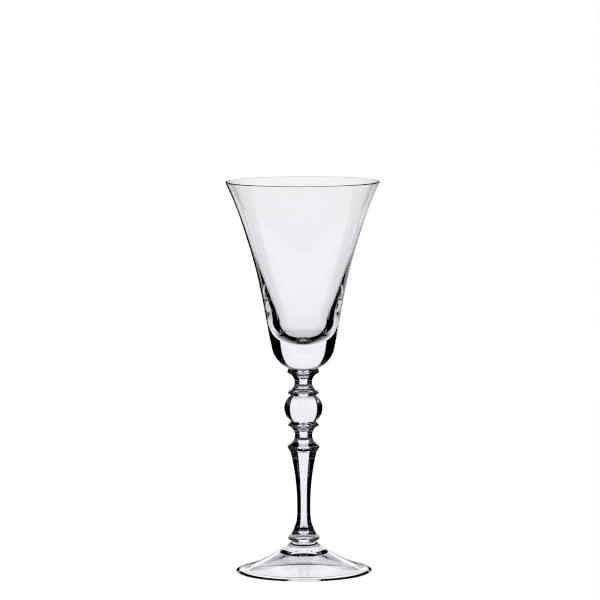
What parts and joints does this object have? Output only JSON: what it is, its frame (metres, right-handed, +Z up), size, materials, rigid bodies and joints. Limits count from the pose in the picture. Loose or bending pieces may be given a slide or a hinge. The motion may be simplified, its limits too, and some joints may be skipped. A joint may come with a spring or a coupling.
{
  "type": "white wine glass",
  "caption": "Stemmed clear wine glass with a flared bowl, a six-sided stem divided by a round ball knop, and a low conical foot.",
  "frame": {"origin": "middle of the foot, on the plane that the glass stands on", "axes": "+Z up along the axis of the glass; the flats of the six-sided stem face +X and -X, so a corner of it looks along -Y"},
  "size_m": [0.0816, 0.0816, 0.208],
  "materials": {
    "clear_glass": "clear colourless glass with a very faint lavender cast, fire-polished all over"
  },
  "bodies": {
    "root": {"bowl": "clear_glass", "upper_spool": "clear_glass", "ball_knop": "clear_glass", "baluster": "clear_glass", "foot": "clear_glass"}
  },
  "joints": []
}
